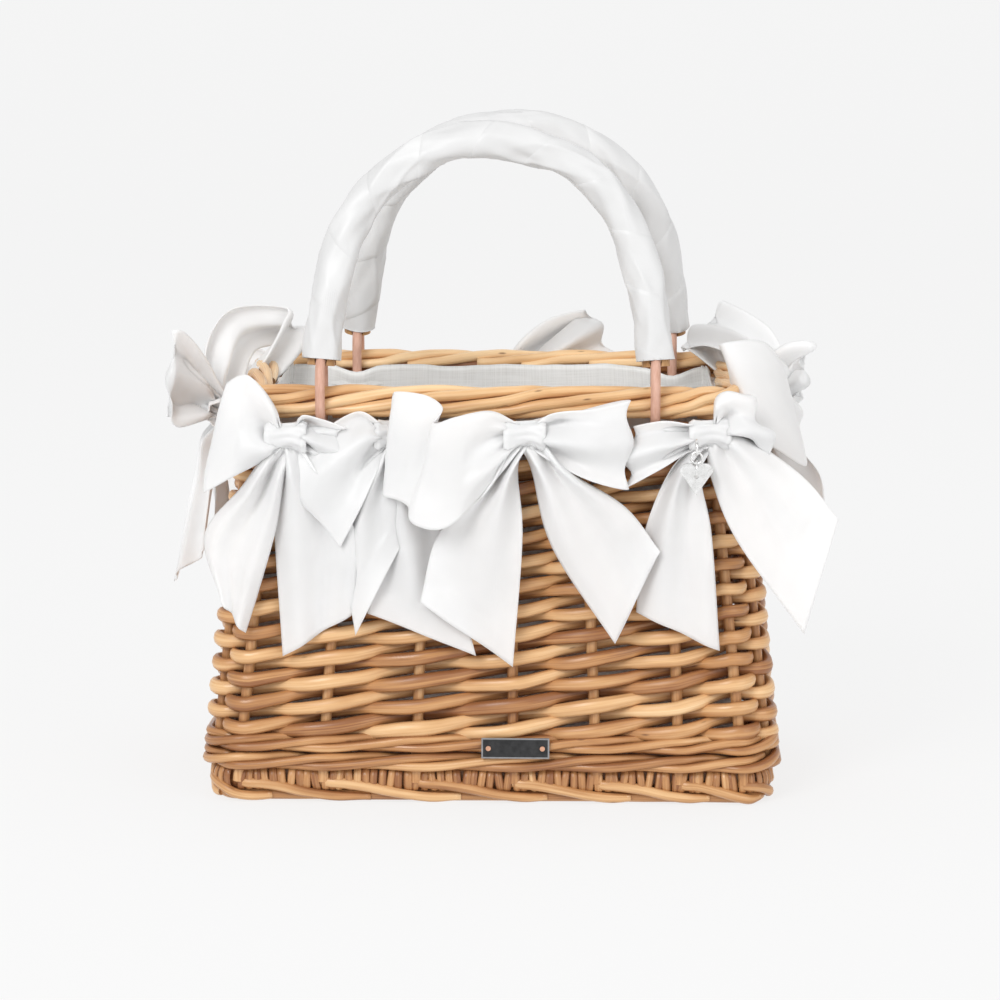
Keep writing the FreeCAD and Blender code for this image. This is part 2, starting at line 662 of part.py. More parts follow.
doc.recompute()
failed = [item.Name for item in doc.Objects if "Invalid" in item.State or "Error" in item.State]
if failed:
    raise RuntimeError("failed objects: " + ", ".join(failed))
for piece in sub_parts:
    if piece.Shape.isNull() or not piece.Shape.isValid() or piece.Shape.Volume <= 0:
        raise RuntimeError("bad shape: " + piece.Label)

os.makedirs("parts", exist_ok=True)
for piece in sub_parts:
    piece.Shape.exportStep("parts/%s.step" % piece.Label)
print("wrote %d sub-parts" % len(sub_parts))
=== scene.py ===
import json
import math

import bpy
import numpy as np
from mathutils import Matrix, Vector


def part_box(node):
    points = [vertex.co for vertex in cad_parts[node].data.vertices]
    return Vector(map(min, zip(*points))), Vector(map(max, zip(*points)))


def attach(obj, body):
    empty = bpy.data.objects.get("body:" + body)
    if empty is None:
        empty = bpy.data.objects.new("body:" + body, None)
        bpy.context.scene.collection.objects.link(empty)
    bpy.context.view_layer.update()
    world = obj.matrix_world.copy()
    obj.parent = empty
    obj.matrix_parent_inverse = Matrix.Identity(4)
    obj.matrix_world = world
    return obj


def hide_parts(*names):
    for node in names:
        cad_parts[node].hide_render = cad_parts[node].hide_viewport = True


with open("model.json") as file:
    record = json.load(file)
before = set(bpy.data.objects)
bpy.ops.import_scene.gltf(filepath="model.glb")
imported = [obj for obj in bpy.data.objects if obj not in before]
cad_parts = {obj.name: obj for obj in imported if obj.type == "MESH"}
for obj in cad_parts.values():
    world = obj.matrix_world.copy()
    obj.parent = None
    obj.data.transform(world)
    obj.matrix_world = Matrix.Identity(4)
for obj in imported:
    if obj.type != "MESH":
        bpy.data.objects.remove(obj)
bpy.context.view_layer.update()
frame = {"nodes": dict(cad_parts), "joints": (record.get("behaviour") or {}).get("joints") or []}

# Shapes are worked out in millimetres, and put_mesh turns them into metres. Lights and camera
# are in metres from the start.
# The basket's wall follows the stake line, a rounded rectangle that shrinks from the foot to the rim.
rng = np.random.default_rng(12)


def cad_span(node):
    """Lowest and highest corner of a CAD node, in millimetres."""
    low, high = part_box(node)
    return np.array(low) * 1000, np.array(high) * 1000


border_low, border_high = cad_span("rim_border")
BORDER_RADIUS = (border_high[2] - border_low[2]) / 2
RIM_LEVEL = (border_high[2] + border_low[2]) / 2
RIM_HALF = border_high[:2] - BORDER_RADIUS
FOOT_PROUD = 3.0  # how far the foot border stands out of the stake line
FOOT_HALF = cad_span("foot_border")[1][:2] - FOOT_PROUD
CORNER = 12.0  # corner radius of the stake line
WALL_PROUD = 6.6  # how far the woven wall stands out of the stake line
ROUND = 8.0  # the place round the basket runs from 0 to 8: side, corner, side, corner...


# ---------------------------------------------------------------- shapes

def turned(x, y, z, angle):
    """Points turned about the vertical."""
    return np.stack([x * np.cos(angle) - y * np.sin(angle), x * np.sin(angle) + y * np.cos(angle), z], -1)


def half_sizes(z):
    """The stake line's half length and half depth at a height."""
    share = np.asarray(z, float) / RIM_LEVEL
    return [FOOT_HALF[i] + (RIM_HALF[i] - FOOT_HALF[i]) * share for i in (0, 1)]


def wall_point(place, z, out, level=None):
    """Points at a place round the basket and a height, `out` outwards from the stake line."""
    place, z, out = np.broadcast_arrays(*(np.asarray(v, float) for v in (place, z, out)))
    half_length, half_depth = half_sizes(z if level is None else level)
    place = np.mod(place, ROUND)
    side = np.floor(place / 2).astype(int)
    share = np.clip(place - 2 * side, 0, 1)
    turn = np.clip(place - 2 * side - 1, 0, 1) * math.pi / 2
    along = np.where(side % 2 == 0, half_length, half_depth) - CORNER
    across = np.where(side % 2 == 0, half_depth, half_length) - CORNER
    x = (2 * share - 1) * along + (CORNER + out) * np.sin(turn)
    y = -across - (CORNER + out) * np.cos(turn)
    return turned(x, y, z, side * math.pi / 2)


def ease(x, stops, values):
    """Smooth steps between values at stops."""
    x = np.clip(x, stops[0], stops[-1])
    index = np.clip(np.searchsorted(stops, x, "right") - 1, 0, len(stops) - 2)
    stops, values = np.asarray(stops, float), np.asarray(values, float)
    t = (x - stops[index]) / (stops[index + 1] - stops[index])
    return values[index] + (values[index + 1] - values[index]) * t * t * (3 - 2 * t)


def wobble(along, size, wavelength):
    """A smooth random wave over a distance."""
    parts = ((1.0, 0.6), (0.53, 0.3), (0.29, 0.18))
    return size * sum(
        share * np.sin(2 * math.pi * along / (wavelength * stretch) + rng.uniform(0, 2 * math.pi))
        for stretch, share in parts
    )


def smooth_curve(points, count):
    """A curve through the points (Catmull-Rom), as `count` points."""
    points = np.asarray(points, float)
    padded = np.vstack([2 * points[0] - points[1], points, 2 * points[-1] - points[-2]])
    place = np.linspace(0, len(points) - 1, count)
    index = np.minimum(place.astype(int), len(points) - 2)
    t = (place - index)[:, None]
    a, b, c, d = (padded[index + k] for k in range(4))
    squared, cubed = 2 * a - 5 * b + 4 * c - d, 3 * b - a - 3 * c + d
    return 0.5 * (2 * b + (c - a) * t + squared * t**2 + cubed * t**3)


def distances(path):
    """How far along a path each of its points lies."""
    steps = np.linalg.norm(np.diff(path, axis=0), axis=1)
    return np.concatenate([[0], np.cumsum(steps)])


def put_mesh(name, points, faces, uvs=None, tones=None):
    """A smooth-shaded mesh object from points in millimetres."""
    mesh = bpy.data.meshes.new(name)
    mesh.from_pydata((np.asarray(points) / 1000).tolist(), [], faces)
    if uvs is not None:
        layer = mesh.uv_layers.new(name="strand")
        layer.data.foreach_set("uv", np.asarray(uvs, np.float32).ravel())
    if tones is not None:
        layer = mesh.attributes.new("tone", "FLOAT", "POINT")
        layer.data.foreach_set("value", np.asarray(tones, np.float32))
    mesh.validate()
    mesh.polygons.foreach_set("use_smooth", np.ones(len(mesh.polygons), bool))
    mesh.update()
    made = bpy.data.objects.new(name, mesh)
    bpy.context.scene.collection.objects.link(made)
    return made


class Rods:
    """Willow rods swept along paths and kept in one mesh, each with its own tone, plus painted shade on the
    side that faces the basket.
    """

    def __init__(self):
        self.points, self.faces, self.uvs, self.tones, self.count = [], [], [], [], 0

    def add(self, path, radius, flat=1.0, sides=10, up=(0, 0, 1), tone=None, painted_inner_shade=0.0):
        """`radius` is the half height of the section, `flat` times it the half depth, and
        `painted_inner_shade` how much painted shade darkens the side that faces the basket."""
        path = np.asarray(path, float)
        rings = len(path)
        radius = np.broadcast_to(np.asarray(radius, float), rings)
        along = distances(path)
        radius = radius * (1 + wobble(along, 0.05, 40.0))
        forward = np.gradient(path, axis=0)
        forward /= np.linalg.norm(forward, axis=1)[:, None]
        across = np.cross(forward, np.asarray(up, float))
        across /= np.linalg.norm(across, axis=1)[:, None]
        upright = np.cross(across, forward)
        turn = np.arange(sides) * 2 * math.pi / sides
        ring = (across[:, None] * (np.cos(turn)[None, :, None] * flat)
                + upright[:, None] * np.sin(turn)[None, :, None])
        points = path[:, None] + ring * radius[:, None, None]
        first = np.arange(rings - 1)[:, None] * sides + np.arange(sides)[None]
        second = np.arange(rings - 1)[:, None] * sides + (np.arange(sides)[None] + 1) % sides
        quads = np.stack([first, first + sides, second + sides, second], -1).reshape(-1, 4) + self.count
        start = along[:-1, None].repeat(sides, 1)
        end = along[1:, None].repeat(sides, 1)
        low = np.broadcast_to(np.arange(sides)[None], start.shape) * 2 * math.pi / sides * radius.mean()
        high = low + 2 * math.pi / sides * radius.mean()
        uv = np.stack([np.stack([start, low], -1), np.stack([end, low], -1),
                       np.stack([end, high], -1), np.stack([start, high], -1)], -2).reshape(-1, 2)
        caps = [list(range(self.count + sides - 1, self.count - 1, -1)),
                list(range(self.count + (rings - 1) * sides, self.count + rings * sides))]
        shift = rng.uniform(0, 3000)
        self.points.append(points.reshape(-1, 3))
        self.faces += quads.tolist() + caps
        self.uvs.append(uv + (shift, 0))
        self.uvs.append(np.repeat([[shift, 0]], sides, 0))
        self.uvs.append(np.repeat([[shift + along[-1], 0]], sides, 0))
        tone = rng.uniform(0, 1) if tone is None else tone
        # Painted shade: the side of the rod that faces the basket is made darker than the rod's own tone.
        tone = np.broadcast_to(np.asarray(tone, float), rings)[:, None] + painted_inner_shade * (1 - np.cos(turn))[None]
        self.tones.append(tone.ravel())
        self.count += rings * sides

    def build(self, name):
        return put_mesh(name, np.concatenate(self.points), self.faces,
                        np.concatenate(self.uvs) / 1000, np.concatenate(self.tones))


def grid_mesh(name, grids):
    """One mesh from several grids of points, with (down, across) texture coordinates in metres."""
    points, faces, uvs, count = [], [], [], 0
    for grid in grids:
        rows, columns = grid.shape[:2]
        index = np.arange(rows * columns).reshape(rows, columns) + count
        corners = index[:-1, :-1], index[1:, :-1], index[1:, 1:], index[:-1, 1:]
        quads = np.stack(corners, -1).reshape(-1, 4)
        down, wide = distances(grid.mean(1)), distances(grid[rows // 2])
        uv = np.stack(np.meshgrid(down, wide, indexing="ij"), -1).reshape(-1, 2)
        points.append(grid.reshape(-1, 3))
        faces += quads.tolist()
        uvs.append(uv[quads.ravel() - count])
        count += rows * columns
    return put_mesh(name, np.concatenate(points), faces, np.concatenate(uvs) / 1000)


# ---------------------------------------------------------------- willow

def find_stakes():
    """Places round the basket of every stake, in order: (at the foot, at the rim)."""
    found = []
    for side, name in enumerate(("front_stakes", "right_stakes", "back_stakes", "left_stakes")):
        points = np.array([v.co for v in frame["nodes"][name].data.vertices]) * 1000
        axis = side % 2
        sign = 1 if side in (0, 1) else -1
        ends = []
        for level in (points[:, 2].min(), points[:, 2].max()):
            near = np.sort(points[np.abs(points[:, 2] - level) < 0.6, axis] * sign)
            gaps = np.flatnonzero(np.diff(near) > 8)
            middles = np.array([(group[0] + group[-1]) / 2 for group in np.split(near, gaps + 1)])
            straight = half_sizes(level)[axis] - CORNER
            ends.append(2 * side + np.clip((middles / straight + 1) / 2, 0, 1))
        found += list(zip(*ends))
    return np.array(found)


STAKES = find_stakes()
STAKE_COUNT = len(STAKES)


def stake_place(number, z):
    """Place round the basket of a stake number, whole or between two, counted on round the basket."""
    number = np.asarray(number, float)
    whole = np.floor(number).astype(int)
    share = np.asarray(z, float) / RIM_LEVEL

    def place(index):
        foot, rim = STAKES[index % STAKE_COUNT].T
        return foot + (rim - foot) * share + ROUND * (index // STAKE_COUNT)

    here, after = place(whole), place(whole + 1)
    return here + (after - here) * (number - whole)


def hop_climb(index):
    """How many rows a weaver climbs from a stake to the next: none round a corner."""
    here = STAKES[index % STAKE_COUNT][0]
    after = STAKES[(index + 1) % STAKE_COUNT][0]
    round_corner = int(here // 2) != int(after // 2) or after < here
    return 0 if round_corner else 1


def weave_wall():
    """French randing: every weaver goes in front of one stake, behind the next, and climbs."""
    rods = Rods()
    rows, low, high, reach = 26, 33.6, 164.0, 4.3
    stakes = np.arange(-3 * STAKE_COUNT, 3 * STAKE_COUNT + 1)
    climb = np.cumsum([hop_climb(n - 1) for n in stakes])
    climb -= climb[3 * STAKE_COUNT]
    weavers = int(climb[4 * STAKE_COUNT] - climb[3 * STAKE_COUNT])
    for weaver in range(weavers):
        level = climb + weaver
        behind = (stakes + weaver) % 2 == 1
        first = stakes[(level >= -1) & behind][0]
        last = stakes[(level <= rows) & behind][-1]
        number = np.arange(first, last + 0.01, 1 / 14)
        row = np.interp(number, stakes, climb) + weaver
        z = low + (high - low) * np.clip(row, -0.6, rows - 0.8) / (rows - 1)
        along = np.arange(len(number)) * 2.4
        swing = np.cos(math.pi * (number + weaver))
        out = reach * np.sign(swing) * np.abs(swing) ** 0.85 + wobble(along, 0.25, 60.0)
        z = z + wobble(along, 0.6, 75.0)
        thick = ease(row, [0, 12, rows], [3.4, 3.0, 2.85]) * (0.88 + 0.12 * np.abs(swing))
        path = wall_point(stake_place(number, z), z, out)
        # Each weaver's own random tone, plus painted shade: darker where it dips behind a stake.
        tone = rng.uniform(-0.25, 0.7) + 0.25 * np.maximum(-swing, 0)
        rods.add(path, thick * rng.uniform(0.93, 1.06), flat=0.74, tone=tone, painted_inner_shade=0.56)
    return rods.build("woven_wall")


def weave_wale(name, middle):
    """Three rods that pass in front of two stakes and behind one, in turn."""
    rods = Rods()
    first_stake, overlap = -5, 2.6
    for weaver in range(3):
        start = first_stake + weaver
        number = np.arange(start, start + STAKE_COUNT + overlap, 1 / 12)
        phase = np.mod(number - start, 3)
        out = 4.4 * ease(phase, [0, 0.5, 1, 2, 2.5, 3], [-1, 0.2, 1.0, 0.95, 0.1, -1])
        rise = ease(phase, [0, 0.5, 1.0, 2.1, 2.5, 3], [0, -1, -0.9, 1, 1, 0])
        along = np.arange(len(number)) * 2.8
        z = middle + 2.0 * rise + wobble(along, 0.2, 60.0)
        thick = 2.1 - 0.2 * np.abs(phase - 1.5) / 1.5
        path = wall_point(stake_place(number, z), z, out)
        rods.add(path, thick, flat=1.05, tone=rng.uniform(0.2, 0.7), painted_inner_shade=0.6)
    return rods.build(name)


def weave_foot():
    """Each rod starts under the wale at a stake and slants down to the ground on the right."""
    rods = Rods()
    for stake in range(STAKE_COUNT):
        number = np.arange(stake - 0.1, stake + rng.uniform(1.25, 1.55), 1 / 16)
        phase = number - stake
        along = np.arange(len(number)) * 2.5
        z = ease(phase, [-0.1, 0.15, 1.25], [9.4, 8.6, 2.3]) + wobble(along, 0.25, 60.0)
        out = ease(phase, [-0.1, 0.1, 0.7, 1.5], [-2.2, 0.6, 0.4, -2.6])
        thick = ease(phase, [-0.1, 0.0, 0.3, 1.1, 1.5], [1.5, 2.3, 2.45, 2.2, 1.7])
        path = wall_point(stake_place(number, z), z, out)
        rods.add(path, thick, flat=0.9, tone=rng.uniform(-0.1, 0.4), painted_inner_shade=0.5)
    ring = np.linspace(0, ROUND, 200)
    rods.add(wall_point(ring, 2.6, -4.2), 2.5, tone=0.6)
    return rods.build("foot_rods")


def weave_base():
    """Strands laid across the lengthwise sticks, and the short upright wraps of the edge."""
    rods = Rods()
    low, high = cad_span("base_sticks")
    middle = (low[2] + high[2]) / 2
    reach = half_sizes(middle)[1] - 3.0
    y = np.arange(-reach, reach, 1.5)
    for index, x in enumerate(np.arange(-116.0, 116.1, 3.9)):
        z = middle + 2.7 * np.cos(math.pi * (y / 15.0 + index))
        path = np.stack([x + wobble(y, 0.25, 30.0), y, z], 1)
        rods.add(path, 0.95, flat=1.75, sides=6, tone=rng.uniform(0.3, 1.0))
    arc = np.linspace(0.0, math.pi, 9)
    place = np.linspace(0, ROUND, 1200)
    ring = wall_point(place, middle, 0)
    along = distances(ring)
    for distance in np.arange(0, along[-1] - 2, 3.65):
        at = np.interp(distance + rng.uniform(-0.5, 0.5), along, place)
        tilt = rng.uniform(-0.004, 0.004)
        z = middle - 1.6 + 4.8 * np.cos(arc)
        out = -1.8 + 3.4 * np.sin(arc)
        path = wall_point(at + tilt * np.cos(arc), z, out, level=middle)
        side = wall_point(at + 0.01, middle, 0) - wall_point(at - 0.01, middle, 0)
        thick, tone = rng.uniform(1.65, 1.95), rng.uniform(0.3, 0.9)
        rods.add(path, thick, flat=0.42, sides=8, up=side, tone=tone, painted_inner_shade=0.3)
    core = wall_point(np.linspace(0, ROUND, 200), middle - 1.4, -2.6, level=middle)
    rods.add(core, 5.4, flat=0.3, tone=1.0)
    return rods.build("base_weaving")


def weave_rim():
    """Each stake's end bends over into the border and runs round its outside, top and inside."""
    rods = Rods()
    for stake in range(STAKE_COUNT):
        number = np.arange(stake - 0.2, stake + rng.uniform(4.4, 4.9), 1 / 12)
        phase = number - stake
        along = np.arange(len(number)) * 2.7
        angle = np.radians(ease(phase, [-0.2, 0.35, 4.9], [-95, -48, 172]) + wobble(along, 11.0, 85.0))
        away = ease(phase, [-0.2, 0.3], [5.4, 4.95]) + wobble(along, 0.12, 40.0)
        z = RIM_LEVEL + away * np.sin(angle)
        path = wall_point(stake_place(number, RIM_LEVEL), z, away * np.cos(angle), level=RIM_LEVEL)
        thick = ease(phase, [-0.2, 0.3, 3.5, 4.9], [2.0, 2.4, 2.3, 1.8])
        rods.add(path, thick, tone=rng.uniform(-0.5, 0.05))
    ring = np.linspace(0, ROUND, 240)
    rods.add(wall_point(ring, RIM_LEVEL, 0), 3.4, tone=0.9)
    return rods.build("rim_rods")


# ---------------------------------------------------------------- lining

RING_NAMES = ("front_left_ring", "front_right_ring", "back_left_ring", "back_right_ring")
RING_PLACES = [(np.mean([low[0], high[0]]), np.sign(low[1] + high[1]))
               for low, high in map(cad_span, RING_NAMES)]
RING_REACH = 13.0  # how far inwards of the stake line the lining keeps clear of a ring


def make_lining():
    """The linen liner: floor, walls and a loose top edge that dips in under the rings."""
    place = np.linspace(0, ROUND, 481)[:-1]
    floor_level, top, wall_inset = 17.0, 177.6, 8.9
    shares = np.linspace(0.002, 1, 27)
    waves = wobble(place / ROUND * 700, 0.7, 47.0) + wobble(place / ROUND * 700, 0.35, 19.0)
    outline = wall_point(place, floor_level, -9.0)
    rows = []
    for share in shares[:-1]:
        spot = outline[:, :2] * share
        crease = 0.5 * np.sin(spot[:, 0] / 17.0 + 1.0) * np.sin(spot[:, 1] / 11.0 + 2.0)
        rows.append(np.column_stack([spot, floor_level + 0.7 + crease]))
    for z in np.linspace(floor_level, top, 64):
        rise = (z - floor_level) / (top - floor_level)
        inset = wall_inset + 0.6 * waves * rise
        lift = np.zeros(len(place))
        line = wall_point(place, z, -wall_inset)
        for ring_x, side in RING_PLACES:
            near = np.exp(-((line[:, 0] - ring_x) / 8.0) ** 2) * (np.sign(line[:, 1]) == side)
            clear = math.sqrt(RING_REACH**2 - min(abs(z - RIM_LEVEL), RING_REACH) ** 2)
            inset = inset + np.maximum(clear - inset, 0) * np.minimum(near * 1.6, 1)
            lift = lift - 3.6 * near * max(rise - 0.8, 0) * 5
        edge = lift + 1.1 * waves * max(rise - 0.8, 0) * 5
        rows.append(wall_point(place, z + edge, -inset, level=z))
    rows.append(wall_point(place, top - 1.5 + edge, -inset + 1.2, level=top))
    rows.append(wall_point(place, top - 9.0 + edge, -inset + 1.0, level=top))
    grid = np.array(rows)
    grid = np.concatenate([grid, grid[:, :1]], 1)
    return grid_mesh("linen_lining", [grid])


# ---------------------------------------------------------------- handles

def handle_arch(foot, count):
    """The handle's centre line in its own plane, from left to right, in millimetres over the hinge."""
    height, top_radius, half_width, side_radius = 104.0, 66.7, 64.4, 242.0
    centre = height - top_radius
    join = math.acos(half_width / top_radius)
    drop = (side_radius - top_radius) * math.sin(join)
    inset = (side_radius - top_radius) * math.cos(join)
    foot_angle = math.asin((foot - centre + drop) / side_radius)
    side = np.linspace(foot_angle, join, 200)
    right = np.stack([side_radius * np.cos(side) - inset, side_radius * np.sin(side) + centre - drop], 1)
    arc = np.linspace(join, math.pi - join, 400)[1:-1]
    top = np.stack([top_radius * np.cos(arc), top_radius * np.sin(arc) + centre], 1)
    left = right[::-1] * (-1, 1)
    line = np.concatenate([right, top, left])[::-1]
    along = distances(line)
    even = np.linspace(0, along[-1], count)
    return np.stack([np.interp(even, along, line[:, k]) for k in (0, 1)], 1), along[-1]


MEAN_WRAP_RADIUS = 7.8


def crease(wave, envelope):
    """Narrow ridges along a wave's crossings, where the envelope is positive."""
    return (1 - np.abs(np.sin(wave))) ** 2 * np.clip(np.sin(envelope), 0, 1)


def wrap_handle(name, hinge, lean, handed):
    """A satin ribbon wound round the handle, each turn lapping over the one before. Returns it
    with the ribbon's own width and length: `width` is measured along the handle."""
    line, length = handle_arch(9.2, 900)
    pitch, width, thickest, turns_before, steps = 27.0, 40.0, 9.0, 2, 60
    turns = length / pitch + turns_before + 2
    turn = np.arange(0, turns, 1 / steps)
    across = np.concatenate([[0, 0.03], np.linspace(0.08, 1, 24)])
    start = (turn - turns_before)[:, None] * pitch + across[None] * width
    at = np.clip(start, 0, length)
    angle = handed * (2 * math.pi * turn[:, None] + 0.35 * across[None])
    slope = np.gradient(line, axis=0)
    slope /= np.linalg.norm(slope, axis=1)[:, None]
    known = np.linspace(0, length, len(line))
    x, z, out_x, out_z = (np.interp(at, known, values)
                          for values in (line[:, 0], line[:, 1], -slope[:, 1], slope[:, 0]))
    from_foot = np.minimum(at, length - at)
    radius = 7.15 + 1.0 * np.exp(-from_foot / 45.0)
    lap = ease(across, [0, 0.04, 0.7], [-0.3, 0.42, 0])[None]
    phases = rng.uniform(0, 2 * math.pi, 6)
    ruck = (0.1 * np.sin(5.0 * across[None] + phases[0])
            + 0.5 * np.sin(2 * angle + at / 9.0 + phases[1]) * np.sin(at / 31.0 + phases[4])
            + 0.4 * np.sin(3 * angle - at / 6.5 + phases[2]) * np.sin(at / 23.0 + phases[5])
            + 0.3 * np.sin(5 * angle + at / 4.5 + phases[2]) * np.sin(at / 15.0 + phases[0])
            + 0.45 * np.sin(at / 17.0 + phases[3]) * np.sin(angle + phases[4])
            + 1.3 * crease(1.5 * angle + at / 15.0 + phases[0], at / 9.0 + angle + phases[5])
            + 1.2 * crease(2.5 * angle - at / 13.0 + phases[3], at / 12.0 - angle + phases[1]))
    radius = np.minimum(radius + lap + ruck, thickest)
    x, y, z = x + out_x * radius * np.cos(angle), radius * np.sin(angle), z + out_z * radius * np.cos(angle)
    tilt = math.radians(lean)
    y, z = y * math.cos(tilt) - z * math.sin(tilt), y * math.sin(tilt) + z * math.cos(tilt)
    grid = np.stack([x + hinge[0], y + hinge[1], z + hinge[2]], -1)
    keep = [row for row in range(len(turn) - 1)
            if np.any((start[row] > 0) & (start[row] < length))]
    made = grid_mesh(name, [grid[keep[0]:keep[-1] + 2]])
    around = 2 * math.pi * MEAN_WRAP_RADIUS
    slant = math.atan2(pitch, around)
    return made, width * math.cos(slant), len(keep) / steps * around / math.cos(slant)


# ---------------------------------------------------------------- bows

COLUMNS = 33
RIBBON_WIDTH = 44.0
WAIST_TURN = 34.0  # the ribbon's length round a waist
SIDES = {"front": 0, "right": 1, "back": 2, "left": 3}


def on_wall(side, points):
    """Turns (along, up, off the wall) into the basket's own directions, for one side of it."""
    number = SIDES[side]
    along, up, off = points[..., 0], points[..., 1], points[..., 2]
    wall = half_sizes(up)[1 - number % 2] + WALL_PROUD
    return turned(along, -(wall + off), up, number * math.pi / 2)


def ribbon(first_edge, second_edge, rows, knots, belly, wave, depth):
    """A strip between two edges. Cloth keeps its width, so where the edges come together it pleats.
    `knots` of its two ends are tied, and `depth` is that of the pleats at a knot."""
    first, second = smooth_curve(first_edge, rows), smooth_curve(second_edge, rows)
    across = np.linspace(0, 1, COLUMNS)[None, :]
    down = np.linspace(0, 1, rows)[:, None]
    grid = first[:, None] * (1 - across[..., None]) + second[:, None] * across[..., None]
    normal = np.cross(np.gradient(grid, axis=0), np.gradient(grid, axis=1))
    normal /= np.maximum(np.linalg.norm(normal, axis=2), 1e-6)[..., None]
    normal *= np.sign(normal[: rows // 3, :, 2].mean())
    width = np.linalg.norm(second - first, axis=1)[:, None] / RIBBON_WIDTH
    to_knot = down if knots == 1 else np.minimum(down, 1 - down) * 1.5
    slack = RIBBON_WIDTH * np.sqrt(np.maximum(1 - width**2, 0)) * ease(to_knot, [0.15, 0.6], [1, 0.5])
    gathered = ease(to_knot, [0.02, 0.3], [1, 0])
    phases = rng.uniform(0, 1, 5)
    fine = np.cos(2 * math.pi * (4.2 * across + phases[0])) / (4 * 4.2) * depth
    broad = np.cos(2 * math.pi * (1.6 * across + phases[1] + 0.3 * down)) / (4 * 1.6)
    folds = gathered * fine + (1 - gathered) * broad
    soft = (np.sin(2 * math.pi * (0.7 * across + 0.8 * down + phases[2]))
            + 0.6 * np.sin(2 * math.pi * (1.3 * across - 0.5 * down + phases[3])))
    crown = 4 * across * (1 - across) * np.sin(math.pi * np.minimum(down * 1.2, 1))
    push = slack * folds + wave * soft * np.minimum(down * 3, 1) + belly * crown
    return grid + normal * push[..., None]


def with_depth(points, start, end):
    """Gives each (along, up) point a distance off the wall; points that have one keep it."""
    count = len(points)
    return [np.array(p if len(p) == 3 else (*p, start + (end - start) * (i + 1) / count), float)
            for i, p in enumerate(points)]


def knot_ends(knot, first, second, half_width):
    """Where a strip's two edges start at the knot."""
    knot = np.array(knot, float)
    direction = first[-1] + second[-1] - 2 * knot
    direction /= np.linalg.norm(direction)
    side = first[-1] - second[-1]
    side -= direction * (side @ direction)
    side *= half_width / np.linalg.norm(side)
    return knot + direction * 2.5 + side, knot + direction * 2.5 - side


def loop_strip(knot, upper, lower, front, gap, behind=()):
    """A loop whose fold lies between the last points of its edges; `gap` leads to its back layer,
    and `behind` holds points that the back layer's upper edge passes through."""
    upper, lower = with_depth(upper, knot[2], front), with_depth(lower, knot[2], front)
    gap = np.array(gap, float)

    def edge(points, start, behind):
        end = points[-1] + gap * 0.5
        back = [end * (1 - t) + start * t + gap * share
                for t, share in ((0.13, 0.5), (0.55, 0.55), (1.0, 0.2))]
        if behind:
            back[:2] = [np.array(point, float) for point in behind]
        return [start, *points[:-1], end, *back]

    starts = knot_ends(knot, upper, lower, 5.0)
    return ribbon(edge(upper, starts[0], behind), edge(lower, starts[1], ()), 84, 2, 1.2, 0.7, 0.8)


def tail_strip(knot, first, second, end_off):
    """A tail whose cut end lies between the last points of its two edges."""
    first, second = with_depth(first, knot[2], end_off), with_depth(second, knot[2], end_off)
    starts = knot_ends(knot, first, second, 4.5)
    return ribbon([starts[0], *first], [starts[1], *second], 64, 1, 2.0, 1.0, 0.25)


def knot_band(knot, size=(9.0, 4.8, 4.6)):
    """The gathered waist of a bow: narrow in the middle, wider where the loops begin."""
    turn = np.linspace(0, 2 * math.pi, 49)[:, None]
    across = np.linspace(-1, 1, 21)[None]
    waist = 1 + 0.5 * across**2 - 0.35 * np.maximum(np.abs(across) - 0.8, 0) * 5
    ripple = 1 + 0.07 * np.cos(6 * turn + 1.5 * across) + 0.04 * np.sin(11 * turn - 2 * across)
    up = size[1] * waist * ripple * np.cos(turn) + 0.8 * np.sin(2.5 * across + 1)
    off = size[2] * waist * ripple * np.sin(turn)
    along = size[0] * across + 0 * turn
    return np.stack([knot[0] + along, knot[1] + up, knot[2] + off], -1)


